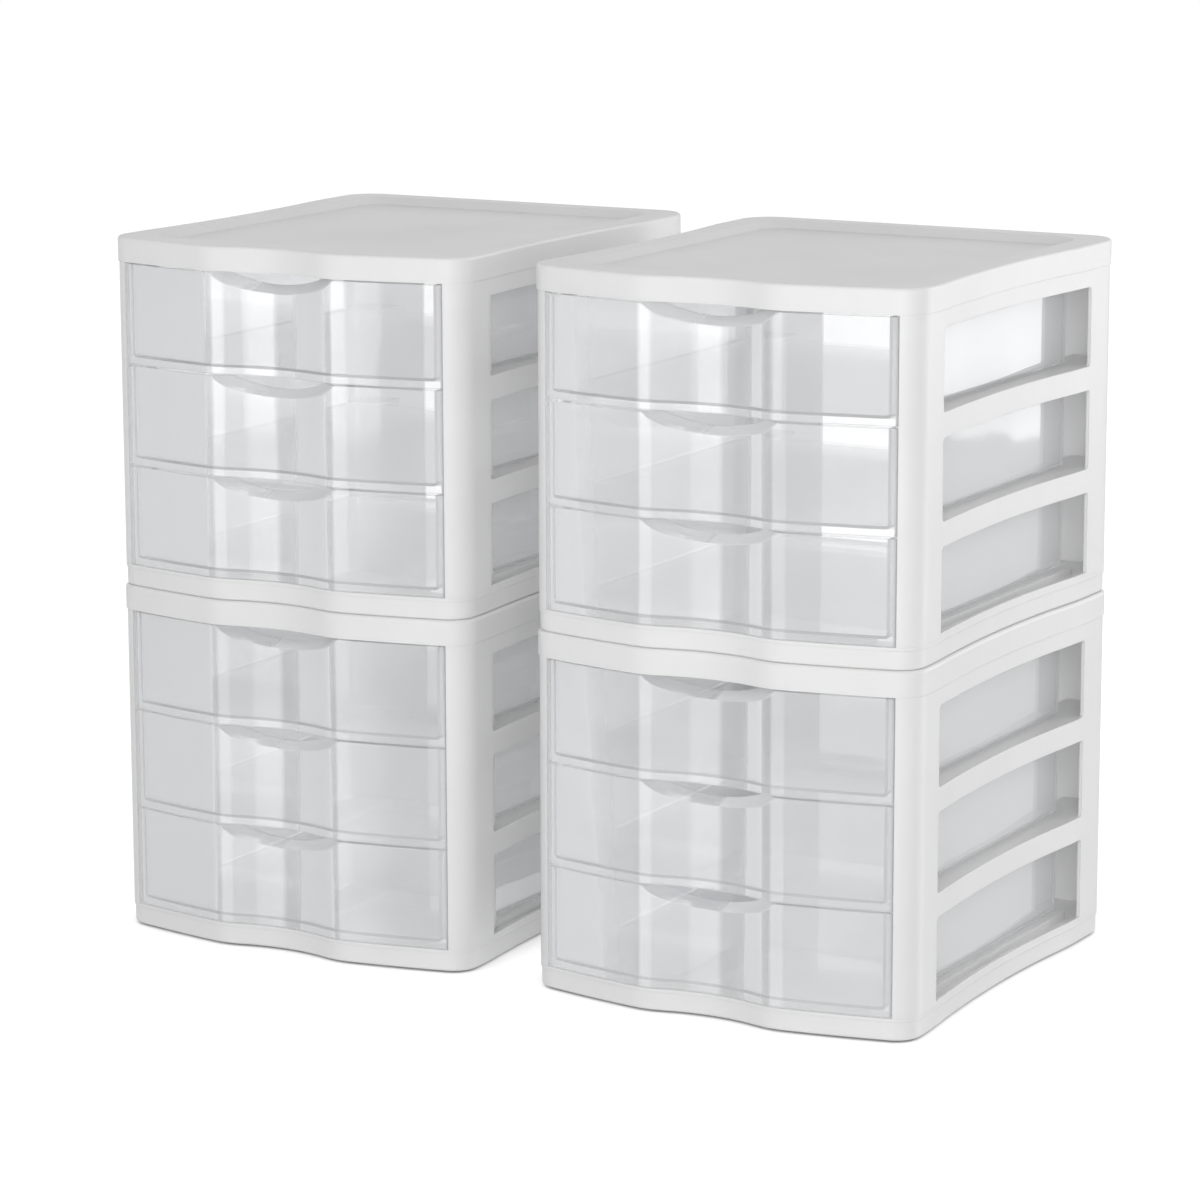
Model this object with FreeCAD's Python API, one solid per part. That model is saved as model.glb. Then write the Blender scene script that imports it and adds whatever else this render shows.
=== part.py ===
import FreeCAD, Part
import math
import os

Vector = FreeCAD.Vector

# Stackable three-drawer desktop units, shown as a set of two stacks of two.
# One unit is drawn in its own frame: X across, centred on the unit; Y back from
# the foremost line of the wavy front; Z up from the bottom edge of the base.
# Copies are then placed in the set's frame: Z up from the ground, origin under
# the middle of the set.

# ---- the set ---------------------------------------------------------------
units_per_stack = 2
stack_gap = 50.0              # clear space between the two stacks

# ---- one unit, overall -----------------------------------------------------
unit_width = 279.4            # over the widest part of the cap
unit_depth = 336.0            # foremost front line to the back
stack_pitch = 241.0           # bottom edge of one unit to the bottom edge of the next

# ---- wavy front and waisted sides of the plan ------------------------------
crest_spacing = 96.0          # between the two foremost lines of the front
dip_depth = 7.0               # hollow between the crests
crest_radius = 50.0
flank_start_angle = 8.0       # degrees off straight across, just beside a crest
flank_end_angle = 13.0        # degrees off straight across, at the front corner
front_corner_radius = 20.0
rear_corner_radius = 24.0
waist_depth = 6.0             # how far each side draws in at the waist
waist_y = 166.0               # distance of the waist behind the foremost line
shoulder_radius = 300.0       # bulge of the side where it starts to draw in
rear_shoulder_length = 48.0   # the side is back at full width this far before the back

# ---- frame mouldings -------------------------------------------------------
wall = 2.4                    # outer walls of the white frame
base_height = 15.0            # bottom edge to the front sill
cap_height = 17.0             # visible band of the cap
cap_edge_round = 2.4
base_edge_round = 2.0
base_inset = 1.5              # the base is this much smaller than the cap all round
side_inset = 0.8              # the side panels stand in from the cap's outline
jamb_width = 13.7             # front face of the frame, each side of the opening
front_column_depth = 55.0     # foremost line to the windows' front edge
rear_column_depth = 50.0      # windows' rear edge to the back
guide_wall = 2.2              # inner wall of each front column
guide_lap = 19.0              # that inner wall runs this much further back than the column
rear_jamb_width = 55.0        # how far the side panel turns in along the back
window_corner_round = 3.0
window_rise = 4.5             # a drawer level up to the window's lower edge and the ledge
rail_height = 16.0            # bar between one side window and the next
side_sill_rise = 3.0          # the base stands this much higher under the side windows
runner_reach = 28.0           # ledge that a drawer slides on, inward from the waist
runner_thickness = 2.2
runner_front_y = 30.0
deck_rail_gap = 0.4           # rails on the base's deck to the side panels
tab_width = 16.0              # clips that join side panels to cap and base
tab_rise = 6.0
tab_thickness = 2.0
tab_root = 0.4                # the clip is sunk this far into the outer wall
tab_clearance = 0.3
tab_front_y = 45.0            # foremost line to the middle of the front clips
tab_rear_margin = 36.0        # middle of the rear clips to the back

# ---- stacking tray in the cap and feet under the base ----------------------
rim_width = 20.0
tray_depth = 5.0
tray_wall_run = 5.0           # the tray's wall slopes in by this much
tray_corner_radius = 20.0
foot_height = 1.5             # below the base's bottom edge
foot_radius = 8.0
foot_clearance = 1.2          # foot to the rounded tray corner of the unit below
foot_wall = 2.0

# ---- drawers ---------------------------------------------------------------
drawers_per_unit = 3
clear_wall = 1.8
clear_floor = 2.0
drawer_side_gap = 0.8         # drawer to the opening, each side
drawer_front_setback = 1.0    # the drawer front stands this much behind the frame's front
drawer_gap = 1.2              # between one drawer front and the next
running_gap = 0.3             # drawer floor to the ledge it slides on
drawer_rear_margin = 44.5     # drawer's rear wall to the back of the frame
box_inset = 4.2               # the drawer's box is this much narrower than its front, each side
box_edge_radius = 3.0         # along the bottom of the box's sides
box_corner_radius = 9.0       # upright rear corners of the box
box_top_drop = 3.5            # side and rear walls end this much below the front's top
rim_thickness = 1.8           # flat rim round the top of the box, out to the front's width
rim_step_gap = 4.0            # the high part of the side walls ends this much before the ledges

# ---- finger scoop at the top of each drawer front --------------------------
scoop_half_width = 44.0
scoop_height = 15.0
scoop_reach = 15.0            # how far the dish goes in behind the front
lip_drop = 7.0                # the dish's upper lip lies this much below the front's top
lip_half_width = 37.0

# ---- worked out ------------------------------------------------------------
half_width = unit_width / 2
cap_bottom = stack_pitch - cap_height
side_height = cap_bottom - base_height
drawer_pitch = side_height / drawers_per_unit
window_height = drawer_pitch - rail_height
opening_half = half_width - jamb_width
rear_shoulder_y = unit_depth - rear_shoulder_length
rear_column_y = unit_depth - rear_column_depth
tab_rear_y = unit_depth - tab_rear_margin
tray_front_y = dip_depth + rim_width
rim_step_y = runner_front_y - rim_step_gap
drawer_rear_y = unit_depth - drawer_rear_margin
drawer_half = opening_half - drawer_side_gap
box_half = drawer_half - box_inset
runner_x = half_width - waist_depth - runner_reach
eps = 0.01                    # overshoot so that cutting solids run clear of faces
far = 2 * (unit_width + unit_depth)


def direction(angle):
    """Unit vector at an angle in degrees from +X towards +Y."""
    return Vector(math.cos(math.radians(angle)), math.sin(math.radians(angle)), 0)


def arc_edge(centre, radius, start, middle, end):
    """Arc through three angles in degrees about a centre."""
    points = [centre + direction(a) * radius for a in (start, middle, end)]
    return Part.Arc(points[0], points[1], points[2]).toShape(), points[0], points[2]


def half_plan_edges():
    """Edges of the right half of the cap's plan, from the dip round to the back."""
    crest_x = crest_spacing / 2
    radii_sum = (crest_x**2 + dip_depth**2) / (2 * dip_depth)
    dip_radius = radii_sum - crest_radius
    dip_angle = math.degrees(math.asin(crest_x / radii_sum))
    edges = []
    dip_centre = Vector(0, dip_depth - dip_radius, 0)
    edge, first, last = arc_edge(dip_centre, dip_radius, 90, 90 - dip_angle / 2, 90 - dip_angle)
    edges.append(edge)
    crest_centre = Vector(crest_x, crest_radius, 0)
    crest_start = 270 - dip_angle
    crest_end = 270 + flank_start_angle
    crest_middle = (crest_start + crest_end) / 2
    edge, first, crest_last = arc_edge(crest_centre, crest_radius, crest_start, crest_middle, crest_end)
    edges.append(edge)
    start_sine = math.sin(math.radians(flank_start_angle))
    end_sine = math.sin(math.radians(flank_end_angle))
    corner_x = half_width - front_corner_radius * (1 - end_sine)
    flank_radius = (corner_x - crest_last.x) / (end_sine - start_sine)
    flank_centre = crest_last - direction(270 + flank_start_angle) * flank_radius
    flank_middle = 270 + (flank_start_angle + flank_end_angle) / 2
    edge, first, flank_last = arc_edge(flank_centre, flank_radius, 270 + flank_start_angle,
                                       flank_middle, 270 + flank_end_angle)
    edges.append(edge)
    corner_centre = flank_last - direction(270 + flank_end_angle) * front_corner_radius
    edge, first, corner_last = arc_edge(corner_centre, front_corner_radius, 270 + flank_end_angle,
                                        315 + flank_end_angle / 2, 360)
    edges.append(edge)
    edges += shoulder_edges(corner_last.y, 1)
    edges += reversed(shoulder_edges(rear_shoulder_y, -1))
    rear_centre = Vector(half_width - rear_corner_radius, unit_depth - rear_corner_radius, 0)
    shoulder = Vector(half_width, rear_shoulder_y, 0)
    edges.append(Part.makeLine(shoulder, Vector(half_width, rear_centre.y, 0)))
    edge, first, rear_last = arc_edge(rear_centre, rear_corner_radius, 0, 45, 90)
    edges.append(edge)
    edges.append(Part.makeLine(rear_last, Vector(0, unit_depth, 0)))
    return edges


def shoulder_edges(full_y, way):
    """Side of the plan from full width at full_y in to the waist; way is +1 going back."""
    run = abs(waist_y - full_y)
    radii_sum = (run**2 + waist_depth**2) / (2 * waist_depth)
    waist_radius = radii_sum - shoulder_radius
    angle = math.degrees(math.asin(run / radii_sum))
    shoulder_centre = Vector(half_width - shoulder_radius, full_y, 0)
    shoulder, first, last = arc_edge(shoulder_centre, shoulder_radius, 0, way * angle / 2, way * angle)
    waist_centre = Vector(half_width - waist_depth + waist_radius, waist_y, 0)
    waist, first, last = arc_edge(waist_centre, waist_radius, 180 + way * angle,
                                  180 + way * angle / 2, 180)
    return [shoulder, waist]


def plan_face(inset):
    """Plan of the unit, drawn in from the cap's outline by an inset."""
    right = half_plan_edges()
    left = [edge.mirror(Vector(0, 0, 0), Vector(1, 0, 0)) for edge in right]
    wire = Part.Wire(Part.__sortEdges__(right + left))
    if inset:
        wire = wire.makeOffset2D(-inset)
    return Part.Face(wire)


def plan_solid(inset, bottom, top):
    """The plan, drawn in by an inset, as a solid between two heights."""
    face = plan_face(inset)
    face.translate(Vector(0, 0, bottom))
    return face.extrude(Vector(0, 0, top - bottom))


def box(x_range, y_range, z_range):
    """Box between two values on each axis."""
    size = [pair[1] - pair[0] for pair in (x_range, y_range, z_range)]
    corner = Vector(x_range[0], y_range[0], z_range[0])
    return Part.makeBox(size[0], size[1], size[2], corner)


def rounded_rectangle(x_half, y_range, radius, height):
    """Wire of a rounded rectangle, centred across, at one height."""
    front, back = y_range
    flat = Part.makePlane(2 * x_half, back - front, Vector(-x_half, front, height))
    block = flat.extrude(Vector(0, 0, 1))
    upright = [edge for edge in block.Edges if is_upright(edge)]
    rounded = block.makeFillet(radius, upright)
    bottom = [face for face in rounded.Faces if abs(face.CenterOfMass.z - height) < eps]
    return bottom[0].OuterWire


def is_upright(edge):
    """Whether an edge is a straight vertical line."""
    ends = [vertex.Point for vertex in edge.Vertexes]
    return len(ends) == 2 and math.hypot(ends[0].x - ends[1].x, ends[0].y - ends[1].y) < eps


def level_edges(solid, height):
    """Edges of a solid that lie at one height."""
    found = []
    for edge in solid.Edges:
        limits = edge.BoundBox
        if abs(limits.ZMin - height) < eps and abs(limits.ZMax - height) < eps:
            found.append(edge)
    return found


def tray_limits(run):
    """Half width and front and back of the tray, run in along its sloping wall."""
    return (half_width - rim_width - run, (tray_front_y + run, unit_depth - rim_width - run))


def tray_solid(offset, depth_below, overshoot):
    """The tray's hollow, grown by an offset, from depth_below the cap's top and up."""
    upper_half, upper_y = tray_limits(-offset)
    lower_half, lower_y = tray_limits(tray_wall_run - offset)
    radius = tray_corner_radius + offset
    lower_radius = radius - tray_wall_run / 2
    top = stack_pitch - depth_below + tray_depth
    upper = rounded_rectangle(upper_half, upper_y, radius, top)
    lower = rounded_rectangle(lower_half, lower_y, lower_radius, stack_pitch - depth_below)
    hollow = Part.makeLoft([lower, upper], True, True)
    if overshoot:
        hollow = hollow.fuse(Part.Face(upper).extrude(Vector(0, 0, overshoot)))
    return hollow


def top_panel():
    """Cap: a deep rim round a shallow stacking tray, open underneath."""
    cap = plan_solid(0, cap_bottom, stack_pitch)
    cap = cap.makeFillet(cap_edge_round, level_edges(cap, stack_pitch))
    under_rim = plan_solid(wall, cap_bottom - 1, stack_pitch - wall)
    tray_shell = tray_solid(wall, tray_depth + wall, 2 * wall)
    hollow = under_rim.cut(tray_shell)
    return cap.cut(hollow).cut(tray_solid(0, tray_depth, 1)).removeSplitter()


def base_panel():
    """Base: a deck with a skirt, raised side sills and four hollow feet."""
    base = plan_solid(base_inset, 0, base_height)
    base = base.makeFillet(base_edge_round, level_edges(base, 0))
    ring = plan_solid(side_inset, base_height, base_height + side_sill_rise)
    ring = ring.cut(plan_solid(side_inset + wall, base_height - 1, base_height + side_sill_rise + 1))
    sill_y = (front_column_depth, rear_column_y)
    upper = (base_height - eps, base_height + side_sill_rise + 1)
    sills = ring.common(box((-far, far), sill_y, upper))
    flare = plan_solid(side_inset, base_height - wall, base_height)
    base = base.fuse([sills, flare])
    base = base.cut(plan_solid(base_inset + wall, -1, base_height - wall))
    for side in (-1, 1):
        base = base.fuse(deck_rail(side, 0, base_height - wall, base_height + window_rise))
        base = base.cut(deck_rail(side, wall, -1, base_height + window_rise - wall))
    foot_length = base_height - wall + foot_height
    for spot in foot_spots():
        foot = Part.makeCylinder(foot_radius, foot_length, spot)
        core_spot = spot + Vector(0, 0, foot_wall)
        core = Part.makeCylinder(foot_radius - foot_wall, foot_length - foot_wall, core_spot)
        base = base.fuse(foot.cut(core))
    slots = tab_slots(base_height - tab_rise - tab_clearance, base_height + 1)
    return base.cut(slots).removeSplitter()


def deck_rail(side, inset, bottom, top):
    """Block of one rail that the bottom drawer slides on, drawn in by an inset."""
    x_range = sorted((side * (runner_x + inset), side * (opening_half - deck_rail_gap - inset)))
    y_range = (runner_front_y + inset, drawer_rear_y - inset)
    return box(x_range, y_range, (bottom, top))


def foot_spots():
    """Undersides of the four feet, each nested in a rounded corner of the tray below."""
    share = foot_height / tray_depth
    run = tray_wall_run * share
    corner = tray_corner_radius - tray_wall_run / 2 * share
    inset = corner - (corner - foot_radius - foot_clearance) / math.sqrt(2)
    foot_x, foot_y = tray_limits(run + inset)
    return [Vector(x, y, -foot_height) for x in (-foot_x, foot_x) for y in foot_y]


def tab_boxes(bottom, top, grow):
    """Clips standing against the outer wall on the right side, optionally grown."""
    boxes = []
    for y in (tab_front_y, tab_rear_y):
        ends = (y - tab_width / 2 - grow, y + tab_width / 2 + grow)
        outer = min(side_x_at(ends[0]), side_x_at(ends[1])) - side_inset - wall
        x_range = (outer - tab_thickness - grow, outer + tab_root + grow)
        boxes.append(box(x_range, ends, (bottom, top)))
    return boxes


def tab_slots(bottom, top):
    """Slots in the base's deck for the clips of both side panels."""
    right = tab_boxes(bottom, top, tab_clearance)
    left = [slot.mirror(Vector(0, 0, 0), Vector(1, 0, 0)) for slot in right]
    return Part.makeCompound(right + left)


def side_x_at(y):
    """Distance of the cap's side from the middle at a depth y."""
    across = Part.makeLine(Vector(0, y, 0), Vector(far, y, 0))
    return plan_face(0).common(across).BoundBox.XMax


def side_panel():
    """Right side panel: front and rear columns, rails, drawer ledges and clips."""
    outer = plan_solid(side_inset, base_height, cap_bottom)
    panel = outer.cut(plan_solid(side_inset + wall, base_height - 1, cap_bottom + 1))
    keep_side = box((opening_half, far), (-1, unit_depth + 1), (-1, stack_pitch))
    flange_x = half_width - rear_jamb_width
    middle_y = unit_depth / 2
    keep_back = box((flange_x, far), (middle_y, unit_depth + 1), (-1, stack_pitch))
    panel = panel.common(keep_side.fuse(keep_back))
    guide_y = (0, front_column_depth + guide_lap)
    guide = box((opening_half, opening_half + guide_wall), guide_y, (base_height, cap_bottom))
    panel = panel.fuse(guide.common(outer))
    for level in range(1, drawers_per_unit):
        shelf_top = base_height + level * drawer_pitch + window_rise
        shelf = plan_solid(side_inset + wall / 2, shelf_top - runner_thickness, shelf_top)
        shelf_y = (runner_front_y, unit_depth - wall)
        panel = panel.fuse(shelf.common(box((runner_x, far), shelf_y, (0, stack_pitch))))
    panel = panel.cut(window_cutters())
    for tab in tab_boxes(cap_bottom - tab_rise, cap_bottom + tab_rise, 0):
        panel = panel.fuse(tab)
    for tab in tab_boxes(base_height - tab_rise, base_height + tab_rise, 0):
        panel = panel.fuse(tab)
    return panel.removeSplitter()


def window_cutters():
    """Solids that open the side windows, one for each drawer."""
    cutters = []
    inner_x = half_width - waist_depth - side_inset - wall - 2
    for level in range(drawers_per_unit):
        bottom = base_height + level * drawer_pitch + window_rise
        top = bottom + window_height
        if level == 0:
            bottom = base_height - 2 * window_corner_round
        block = box((inner_x, far), (front_column_depth, rear_column_y), (bottom, top))
        along_x = []
        for edge in block.Edges:
            limits = edge.BoundBox
            if limits.XLength > limits.YLength + limits.ZLength:
                along_x.append(edge)
        cutters.append(block.makeFillet(window_corner_round, along_x))
    return Part.makeCompound(cutters)


def front_block(inset, bottom, top):
    """The drawer's wavy front with its short end returns, drawn in by an inset."""
    half = drawer_half - inset
    block = plan_solid(drawer_front_setback + inset, bottom, top)
    return block.common(box((-half, half), (-1, rim_step_y), (bottom, top)))


def box_block(inset, bottom, top):
    """The drawer's box, drawn in by an inset, with its rounded bottom edges and rear corners."""
    half = box_half - inset
    y_range = (-1, drawer_rear_y - inset)
    block = box((-half, half), y_range, (bottom, top))
    sides = [edge for edge in level_edges(block, bottom) if edge.BoundBox.XLength < eps]
    block = block.makeFillet(box_edge_radius - inset, sides)
    corners = box((-half, half), y_range, (bottom, top))
    rear = [edge for edge in corners.Edges if is_upright(edge) and edge.BoundBox.YMin > 0]
    corners = corners.makeFillet(box_corner_radius - inset, rear)
    return block.common(corners).common(plan_solid(drawer_front_setback + inset, bottom, top))


def box_rim(top):
    """Flat rim round the top of the box, as wide as the drawer's front."""
    half = drawer_half
    y_range = (rim_step_y, drawer_rear_y + box_inset)
    plate = box((-half, half), y_range, (top - rim_thickness, top))
    rear = [edge for edge in plate.Edges if is_upright(edge) and edge.BoundBox.YMin > rim_step_y]
    return plate.makeFillet(box_corner_radius + box_inset, rear)


def scoop_sphere(front_y, top, grow):
    """Sphere whose dish in the front is the finger scoop."""
    lens_radius = (scoop_half_width**2 + scoop_height**2) / (2 * scoop_height)
    above = lens_radius - scoop_height
    ahead = (lens_radius**2 - above**2 - scoop_reach**2) / (2 * scoop_reach)
    radius = math.hypot(ahead, lens_radius)
    return Part.makeSphere(radius + grow, Vector(0, front_y - ahead, top + above))


def lip_cutter(top):
    """Shallow round notch that leaves room for fingers over the dish's upper lip."""
    radius = (lip_half_width**2 + lip_drop**2) / (2 * lip_drop)
    centre = Vector(0, -1, top + radius - lip_drop)
    return Part.makeCylinder(radius, rim_step_y + 1, centre, Vector(0, 1, 0))


def drawer():
    """One clear drawer, standing on z = 0."""
    top = drawer_pitch - drawer_gap - running_gap
    front_y = drawer_front_setback + dip_depth / 2
    front = front_block(0, 0, top)
    hollow = box_block(clear_wall, window_rise + clear_floor, top + 1)
    shell = front.cut(front_block(clear_wall, -1, top + 1)).fuse(box_block(0, window_rise, top))
    low_walls = box((-far, far), (rim_step_y, far), (top - box_top_drop, top + 1))
    shell = shell.cut(low_walls).fuse(box_rim(top - box_top_drop)).cut(hollow)
    dish_wall = front.common(scoop_sphere(front_y, top, clear_wall))
    shell = shell.fuse(dish_wall).cut(scoop_sphere(front_y, top, 0)).cut(lip_cutter(top))
    return shell.removeSplitter()


def place(solid, offset):
    """Copy of a solid moved by an offset."""
    moved = solid.copy()
    moved.translate(offset)
    return moved


def drawer_names():
    """Names of a unit's drawers from the lowest level up."""
    if drawers_per_unit == 3:
        return ["bottom_drawer", "middle_drawer", "top_drawer"]
    return ["drawer_level_%d" % (level + 1) for level in range(drawers_per_unit)]


def unit_parts():
    """Pieces of one unit by name, in the unit's own frame."""
    right = side_panel()
    pieces = {
        "base_panel": base_panel(),
        "left_side": right.mirror(Vector(0, 0, 0), Vector(1, 0, 0)),
        "right_side": right,
        "top_panel": top_panel(),
    }
    box_drawer = drawer()
    for level, name in enumerate(drawer_names()):
        floor_z = base_height + level * drawer_pitch + running_gap
        pieces[name] = place(box_drawer, Vector(0, 0, floor_z))
    return pieces


def stack_origins():
    """Set-frame position of the lowest unit of each stack."""
    x = (unit_width + stack_gap) / 2
    y = -unit_depth / 2
    return {"left": Vector(-x, y, foot_height), "right": Vector(x, y, foot_height)}


def unit_names():
    """Names of the units in a stack from the lowest up."""
    if units_per_stack == 2:
        return ["lower", "upper"]
    return ["tier_%d" % (tier + 1) for tier in range(units_per_stack)]


def main():
    os.makedirs("parts", exist_ok=True)
    pieces = unit_parts()
    for stack, origin in stack_origins().items():
        for tier, unit in enumerate(unit_names()):
            offset = origin + Vector(0, 0, tier * stack_pitch)
            for name, solid in pieces.items():
                node = "%s_%s_%s" % (stack, unit, name)
                place(solid, offset).exportStep("parts/%s.step" % node)
    for name, solid in pieces.items():
        kinds = len(solid.Solids)
        print(name, "solids", kinds, "valid", solid.isValid(), "volume %.0f" % solid.Volume)


main()
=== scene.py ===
import math

import bpy
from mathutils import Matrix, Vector

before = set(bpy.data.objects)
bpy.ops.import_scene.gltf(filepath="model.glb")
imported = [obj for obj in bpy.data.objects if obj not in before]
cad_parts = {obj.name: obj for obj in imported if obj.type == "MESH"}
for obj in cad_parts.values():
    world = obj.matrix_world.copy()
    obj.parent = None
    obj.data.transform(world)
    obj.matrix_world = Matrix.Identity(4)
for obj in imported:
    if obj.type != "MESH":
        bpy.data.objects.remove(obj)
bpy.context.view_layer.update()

scene = bpy.context.scene


# node helpers

# a socket among the values is linked, anything else is set
def newNode(tree, kind, sockets=None, **settings):
    node = tree.nodes.new(kind)
    for name, value in settings.items():
        setattr(node, name, value)
    for name, value in (sockets or {}).items():
        if isinstance(value, bpy.types.NodeSocket):
            tree.links.new(value, node.inputs[name])
        else:
            node.inputs[name].default_value = value
    return node


def mathNode(tree, operation, a, b=0.0, clamp=False):
    return newNode(tree, "ShaderNodeMath", {0: a, 1: b}, operation=operation, use_clamp=clamp).outputs[0]


def addPart(tree, base, mask, share, clamp=False):
    return mathNode(tree, "ADD", base, mathNode(tree, "MULTIPLY", mask, share), clamp)


def ramp(tree, value, low, high, outLow=0.0, outHigh=1.0):
    sockets = {"Value": value, "From Min": low, "From Max": high, "To Min": outLow, "To Max": outHigh}
    return newNode(tree, "ShaderNodeMapRange", sockets, clamp=True).outputs["Result"]


def noise(tree, place, scale, detail, roughness=0.5, distortion=0.0):
    sockets = {"Vector": place, "Scale": scale, "Detail": detail,
               "Roughness": roughness, "Distortion": distortion}
    return newNode(tree, "ShaderNodeTexNoise", sockets).outputs[0]


def mixColours(tree, factor, a, b):
    return newNode(tree, "ShaderNodeMix", {0: factor, 6: a, 7: b}, data_type="RGBA").outputs[2]


def mixShaders(tree, factor, a, b):
    return newNode(tree, "ShaderNodeMixShader", {0: factor, 1: a, 2: b}).outputs[0]


def objectPlace(tree):
    return newNode(tree, "ShaderNodeTexCoord").outputs["Object"]


def newGroup(name, inputs, outputs):
    group = bpy.data.node_groups.new(name, "ShaderNodeTree")
    for label, kind, value in inputs:
        socket = group.interface.new_socket(label, in_out="INPUT", socket_type="NodeSocket" + kind)
        socket.default_value = value
    for label, kind in outputs:
        group.interface.new_socket(label, in_out="OUTPUT", socket_type="NodeSocket" + kind)
    start = group.nodes.new("NodeGroupInput")
    end = group.nodes.new("NodeGroupOutput")
    return group, start, end


def useGroup(tree, group, sockets):
    return newNode(tree, "ShaderNodeGroup", sockets, node_tree=group)


def newMaterial(name):
    material = bpy.data.materials.new(name)
    material.use_nodes = True
    tree = material.node_tree
    return material, tree, tree.nodes["Principled BSDF"]


def setSurface(tree, shader):
    tree.links.new(shader, tree.nodes["Material Output"].inputs["Surface"])


# fine grain of a satin mould, and soft waves where the plastic cooled

grainShape = {
    "size": 1500.0,
    "height": 0.0002,
    "waveSize": 22.0,
    "waveHeight": 0.002,
}


def makeMouldGrain():
    inputs = [("Grain Size", "Float", grainShape["size"]), ("Grain Depth", "Float", 0.1),
              ("Wave Depth", "Float", 0.1), ("Normal", "Vector", (0, 0, 0))]
    group, start, end = newGroup("mouldGrain", inputs, [("Normal", "Vector"), ("Grain", "Float")])
    place = objectPlace(group)
    grain = noise(group, place, start.outputs["Grain Size"], 2.0, roughness=0.6)
    wave = noise(group, place, grainShape["waveSize"], 1.5, roughness=0.4)
    rough = newNode(group, "ShaderNodeBump", {
        "Height": grain, "Strength": start.outputs["Grain Depth"],
        "Distance": grainShape["height"], "Normal": start.outputs["Normal"]})
    soft = newNode(group, "ShaderNodeBump", {
        "Height": wave, "Strength": start.outputs["Wave Depth"],
        "Distance": grainShape["waveHeight"], "Normal": rough.outputs[0]})
    group.links.new(soft.outputs[0], end.inputs["Normal"])
    group.links.new(grain, end.inputs["Grain"])
    return group


# light dust on level faces: a thin film and a few specks

dustShape = {
    "levelFrom": 0.75,
    "levelTo": 0.98,
    "driftSize": 9.0,
    "speckSize": 900.0,
    "emptyCells": 0.93,
    "speckShare": 0.6,
}


def makeDust():
    inputs = [("Amount", "Float", 0.2), ("Speck Size", "Float", dustShape["speckSize"])]
    group, start, end = newGroup("settledDust", inputs, [("Mask", "Float")])
    place = objectPlace(group)
    facing = newNode(group, "ShaderNodeNewGeometry").outputs["Normal"]
    upward = newNode(group, "ShaderNodeSeparateXYZ", {0: facing}).outputs["Z"]
    level = ramp(group, upward, dustShape["levelFrom"], dustShape["levelTo"])
    patch = ramp(group, noise(group, place, dustShape["driftSize"], 4.0), 0.38, 0.72)
    cells = newNode(group, "ShaderNodeTexVoronoi", {"Vector": place, "Scale": start.outputs["Speck Size"]})
    chance = newNode(group, "ShaderNodeSeparateXYZ", {0: cells.outputs["Color"]}).outputs["X"]
    chosen = ramp(group, chance, dustShape["emptyCells"], dustShape["emptyCells"] + 0.02)
    dots = ramp(group, cells.outputs["Distance"], 0.12, 0.3, 1.0, 0.0)
    speck = mathNode(group, "MULTIPLY", dots, chosen)
    film = addPart(group, 1 - dustShape["speckShare"], speck, dustShape["speckShare"])
    mask = mathNode(group, "MULTIPLY", mathNode(group, "MULTIPLY", level, patch), film)
    amount = mathNode(group, "MULTIPLY", mask, start.outputs["Amount"], True)
    group.links.new(amount, end.inputs["Mask"])
    return group


# hairline scuffs from sliding and handling

scuffShape = {
    "density": 60.0,
    "strokes": ((0.35, 26.0), (-0.9, 34.0)),  # turn in radians, and how long and thin
    "patchSize": 7.0,
}


def makeScuffs():
    inputs = [("Amount", "Float", 0.2), ("Density", "Float", scuffShape["density"])]
    group, start, end = newGroup("hairScuffs", inputs, [("Mask", "Float")])
    place = objectPlace(group)
    marks = []
    for turn, stretch in scuffShape["strokes"]:
        turned = newNode(group, "ShaderNodeMapping", {
            "Vector": place, "Rotation": (turn, turn * 0.7, turn), "Scale": (1.0, stretch, 1.0)})
        lines = noise(group, turned.outputs[0], start.outputs["Density"], 3.0, roughness=0.7, distortion=0.3)
        marks.append(ramp(group, lines, 0.66, 0.74))
    where = ramp(group, noise(group, place, scuffShape["patchSize"], 2.0), 0.45, 0.65)
    mask = mathNode(group, "MULTIPLY", mathNode(group, "MAXIMUM", marks[0], marks[1]), where)
    amount = mathNode(group, "MULTIPLY", mask, start.outputs["Amount"], True)
    group.links.new(amount, end.inputs["Mask"])
    return group


# small rounding that every moulded edge has

def makeSoftEdge():
    inputs = [("Radius", "Float", 0.0004)]
    group, start, end = newGroup("softEdge", inputs, [("Normal", "Vector"), ("Edge", "Float")])
    bevel = newNode(group, "ShaderNodeBevel", {"Radius": start.outputs["Radius"]}, samples=4)
    flat = newNode(group, "ShaderNodeNewGeometry").outputs["Normal"]
    dot = newNode(group, "ShaderNodeVectorMath", {0: bevel.outputs[0], 1: flat}, operation="DOT_PRODUCT")
    group.links.new(bevel.outputs[0], end.inputs["Normal"])
    group.links.new(ramp(group, dot.outputs["Value"], 0.995, 0.85), end.inputs["Edge"])
    return group


mouldGrain = makeMouldGrain()
settledDust = makeDust()
hairScuffs = makeScuffs()
softEdge = makeSoftEdge()
print("shared effects ready")


# white frame: satin polypropylene

frameLook = {
    "colour": (0.83, 0.83, 0.83, 1),
    "shadeColour": (0.80, 0.80, 0.797, 1),
    "shadeSize": 14.0,
    "dustColour": (0.70, 0.69, 0.67, 1),
    "ior": 1.49,
    "roughness": 0.34,
    "grainRough": 0.08,  # how much rougher grain, dust and scuffs make it
    "dustRough": 0.5,
    "scuffRough": 0.25,
    "edgePolish": 0.08,
    "grainDepth": 0.10,
    "waveDepth": 0.08,
    "edgeRadius": 0.0005,
    "dust": 0.25,
    "scuffs": 0.25,
}


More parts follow.
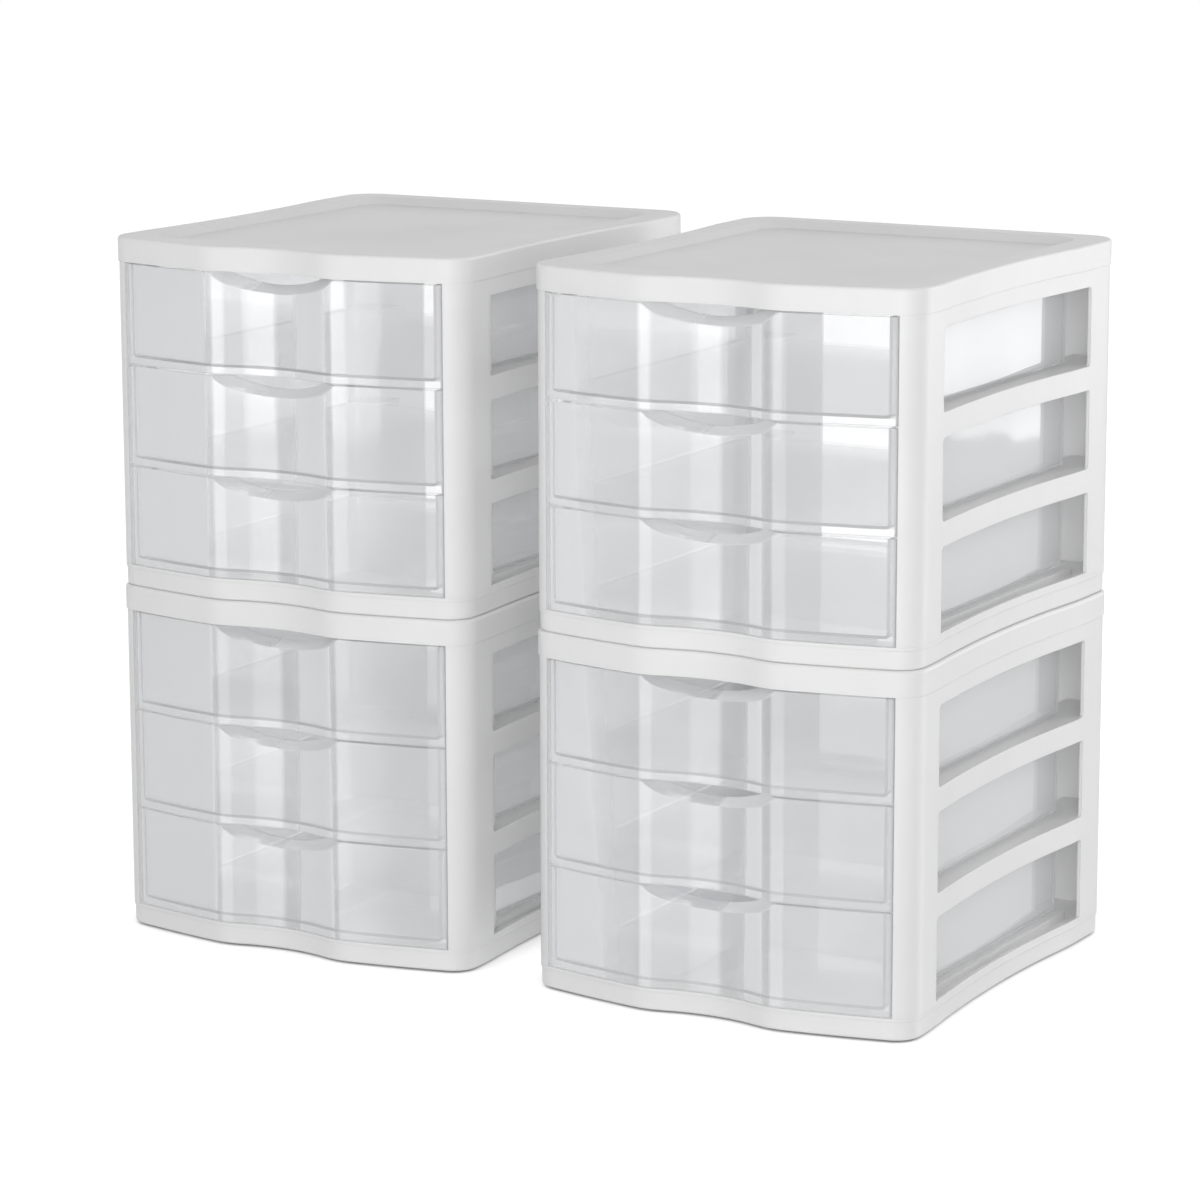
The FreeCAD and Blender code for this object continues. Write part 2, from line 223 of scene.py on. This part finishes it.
def makeFrameMaterial():
    material, tree, bsdf = newMaterial("whiteFrame")
    cloud = noise(tree, objectPlace(tree), frameLook["shadeSize"], 5.0, roughness=0.55)
    body = mixColours(tree, ramp(tree, cloud, 0.35, 0.7), frameLook["colour"], frameLook["shadeColour"])
    dust = useGroup(tree, settledDust, {"Amount": frameLook["dust"]}).outputs["Mask"]
    scuffs = useGroup(tree, hairScuffs, {"Amount": frameLook["scuffs"]}).outputs["Mask"]
    edge = useGroup(tree, softEdge, {"Radius": frameLook["edgeRadius"]})
    grain = useGroup(tree, mouldGrain, {
        "Grain Depth": frameLook["grainDepth"], "Wave Depth": frameLook["waveDepth"],
        "Normal": edge.outputs["Normal"]})
    worn = addPart(tree, frameLook["roughness"], grain.outputs["Grain"], frameLook["grainRough"])
    dusty = addPart(tree, worn, dust, frameLook["dustRough"])
    scuffed = addPart(tree, dusty, scuffs, frameLook["scuffRough"])
    polished = addPart(tree, scuffed, edge.outputs["Edge"], -frameLook["edgePolish"], True)
    tree.links.new(mixColours(tree, dust, body, frameLook["dustColour"]), bsdf.inputs["Base Color"])
    tree.links.new(polished, bsdf.inputs["Roughness"])
    tree.links.new(grain.outputs["Normal"], bsdf.inputs["Normal"])
    bsdf.inputs["IOR"].default_value = frameLook["ior"]
    return material


# clear drawers: slightly milky polystyrene

clearLook = {
    "tint": (0.96, 0.963, 0.972, 1),
    "through": (0.997, 0.998, 1.0, 1),
    "ior": 1.5,
    "milk": 0.14,
    "milkSize": 12.0,
    "gloss": 1.0,
    "mirror": 0.42,
    "roughness": 0.05,
    "scuffRough": 0.3,
    "waveDepth": 0.10,
    "scuffMilk": 0.12,  # how much scuffs, dust and edges add to the milk
    "dustMilk": 0.3,
    "edgeMilk": 0.25,
    "edgeRadius": 0.0004,
    "scuffs": 0.35,
    "dust": 0.3,
}


def makeClearMaterial():
    material, tree, bsdf = newMaterial("clearDrawer")
    edge = useGroup(tree, softEdge, {"Radius": clearLook["edgeRadius"]})
    grain = useGroup(tree, mouldGrain, {
        "Grain Depth": 0.0, "Wave Depth": clearLook["waveDepth"], "Normal": edge.outputs["Normal"]})
    scuffs = useGroup(tree, hairScuffs, {"Amount": clearLook["scuffs"]}).outputs["Mask"]
    dust = useGroup(tree, settledDust, {"Amount": clearLook["dust"]}).outputs["Mask"]
    cloud = noise(tree, objectPlace(tree), clearLook["milkSize"], 3.0)
    milk = mathNode(tree, "MULTIPLY", ramp(tree, cloud, 0.3, 0.7, 0.8, 1.2), clearLook["milk"])
    fresnel = {"IOR": clearLook["ior"], "Normal": grain.outputs["Normal"]}
    shine = newNode(tree, "ShaderNodeFresnel", fresnel).outputs[0]
    veil = addPart(tree, milk, shine, clearLook["gloss"])
    marked = addPart(tree, veil, scuffs, clearLook["scuffMilk"])
    dusty = addPart(tree, marked, dust, clearLook["dustMilk"])
    rimmed = addPart(tree, dusty, edge.outputs["Edge"], clearLook["edgeMilk"], True)

    # light that fills the drawers passes straight through their walls
    see = newNode(tree, "ShaderNodeBsdfTransparent", {"Color": clearLook["through"]}).outputs[0]
    plastic = mixShaders(tree, rimmed, see, bsdf.outputs[0])
    path = newNode(tree, "ShaderNodeLightPath").outputs
    for passed in ("Is Diffuse Ray", "Is Shadow Ray"):
        plastic = mixShaders(tree, path[passed], plastic, see)
    setSurface(tree, plastic)

    rough = addPart(tree, clearLook["roughness"], scuffs, clearLook["scuffRough"])
    tree.links.new(rough, bsdf.inputs["Roughness"])
    tree.links.new(grain.outputs["Normal"], bsdf.inputs["Normal"])
    bsdf.inputs["Base Color"].default_value = clearLook["tint"]
    bsdf.inputs["Metallic"].default_value = clearLook["mirror"]
    bsdf.inputs["IOR"].default_value = clearLook["ior"]
    return material


whiteFrame = makeFrameMaterial()
clearDrawer = makeClearMaterial()
for name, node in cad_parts.items():
    node.data.materials.clear()
    node.data.materials.append(clearDrawer if name.endswith("drawer") else whiteFrame)
print("materials on", len(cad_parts), "pieces")


# floor, light and camera

studio = {
    "floorSize": 16.0,
    "floorColour": (0.92, 0.92, 0.92, 1),
    "floorLift": 0.62,
    "contactWidth": 0.03,
    "skyLevel": 0.52,
    "skyTop": 0.48,
    "skyTopZ": 0.9,
    "bandBlur": 2,  # degrees, to each side of a band's edge
    "aimHeight": 0.24,
}

# name, turn from straight ahead to the right, height angle, distance, width, height, strength
softBoxes = [
    ("frontBox", -23, 14, 2.6, 0.95, 1.9, 0.7),
    ("fillBox", 28, 13, 2.6, 1.6, 1.4, 3.35),
    ("rearBox", 146, 12, 2.6, 1.4, 1.7, 2.0),
]

# turn from, turn to, and how much brighter the studio looks there in a glossy surface
glossBands = [
    (-80, -34, -0.30),
    (-33, -13, 1.00),
    (-13, 12, 0.45),
    (30, 112, -0.50),
    (118, 148, 1.80),
    (148, 160, 0.10),
]


# 1 for rays that show the background itself: straight, mirrored or seen through
def seenRay(tree):
    path = newNode(tree, "ShaderNodeLightPath").outputs
    mirrored = mathNode(tree, "MAXIMUM", path["Is Glossy Ray"], path["Is Transmission Ray"])
    return mathNode(tree, "MAXIMUM", path["Is Camera Ray"], mirrored)


def makeFloor():
    half = studio["floorSize"] / 2
    mesh = bpy.data.meshes.new("floor")
    corners = [(-half, -half, 0), (half, -half, 0), (half, half, 0), (-half, half, 0)]
    mesh.from_pydata(corners, [], [(0, 1, 2, 3)])
    floor = bpy.data.objects.new("floor", mesh)
    scene.collection.objects.link(floor)
    material, tree, bsdf = newMaterial("floorWhite")
    bsdf.inputs["Base Color"].default_value = studio["floorColour"]
    bsdf.inputs["Roughness"].default_value = 1.0
    bsdf.inputs["Specular IOR Level"].default_value = 0.0
    # ambient occlusion fades the floor's glow close to the object: a painted contact shadow, not one cast by
    # the lamps
    paintedContactShadow = newNode(tree, "ShaderNodeAmbientOcclusion", {"Distance": studio["contactWidth"]}, samples=8)
    lift = mathNode(tree, "MULTIPLY", ramp(tree, paintedContactShadow.outputs["AO"], 0.0, 0.85), studio["floorLift"])
    glow = newNode(tree, "ShaderNodeEmission", {"Color": (1, 1, 1, 1), "Strength": lift})
    both = newNode(tree, "ShaderNodeAddShader", {0: bsdf.outputs[0], 1: glow.outputs[0]})
    setSurface(tree, mixShaders(tree, seenRay(tree), bsdf.outputs[0], both.outputs[0]))
    mesh.materials.append(material)
    floor.visible_glossy = False


def makeSky():
    world = bpy.data.worlds.new("studioSky")
    scene.world = world
    world.use_nodes = True
    tree = world.node_tree
    background = tree.nodes["Background"]
    background.inputs["Color"].default_value = (1, 1, 1, 1)
    place = newNode(tree, "ShaderNodeTexCoord").outputs["Generated"]
    direction = newNode(tree, "ShaderNodeSeparateXYZ", {0: place}).outputs
    light = ramp(tree, direction["Z"], 0.0, studio["skyTopZ"], studio["skyLevel"], studio["skyTop"])
    seen = mathNode(tree, "MAXIMUM", light, seenRay(tree))
    ahead = mathNode(tree, "MULTIPLY", direction["Y"], -1.0)
    turn = mathNode(tree, "MULTIPLY", mathNode(tree, "ARCTAN2", direction["X"], ahead), math.degrees(1))
    blur = studio["bandBlur"]
    bands = 0.0
    for low, high, gain in glossBands:
        begun = ramp(tree, turn, low - blur, low + blur)
        left = ramp(tree, turn, high - blur, high + blur, 1.0, 0.0)
        bands = addPart(tree, bands, mathNode(tree, "MULTIPLY", begun, left), gain)
    glossy = newNode(tree, "ShaderNodeLightPath").outputs["Is Glossy Ray"]
    tree.links.new(addPart(tree, seen, glossy, bands), background.inputs["Strength"])


def makeSoftBoxes():
    aim = Vector((0, 0, studio["aimHeight"]))
    for name, turn, lift, distance, width, height, strength in softBoxes:
        data = bpy.data.lights.new(name, "AREA")
        data.shape = "RECTANGLE"
        data.size = width
        data.size_y = height
        data.energy = strength * math.pi * width * height
        lamp = bpy.data.objects.new(name, data)
        around, up = math.radians(turn), math.radians(lift)
        flat = distance * math.cos(up)
        offset = Vector((flat * math.sin(around), -flat * math.cos(around), distance * math.sin(up)))
        lamp.location = aim + offset
        lamp.rotation_euler = (-offset).to_track_quat("-Z", "Y").to_euler()
        scene.collection.objects.link(lamp)


makeFloor()
makeSky()
makeSoftBoxes()

cameraView = {
    "place": (1.4367, -2.5731, 0.8237),
    "turn": (78.67, 0.137, 29.272),
    "lens": 131.15,
    "sensor": 36,
}


def makeCamera():
    data = bpy.data.cameras.new("camera")
    data.sensor_width = cameraView["sensor"]
    data.lens = cameraView["lens"]
    camera = bpy.data.objects.new("camera", data)
    camera.location = cameraView["place"]
    camera.rotation_euler = [math.radians(angle) for angle in cameraView["turn"]]
    scene.collection.objects.link(camera)
    scene.camera = camera


makeCamera()
scene.view_settings.view_transform = "Standard"
scene.cycles.transparent_max_bounces = 40  # a straight look through both stacks crosses many clear walls
scene.cycles.max_bounces = 6
scene.cycles.diffuse_bounces = 4
scene.cycles.glossy_bounces = 3
scene.cycles.caustics_reflective = False
print("studio ready")
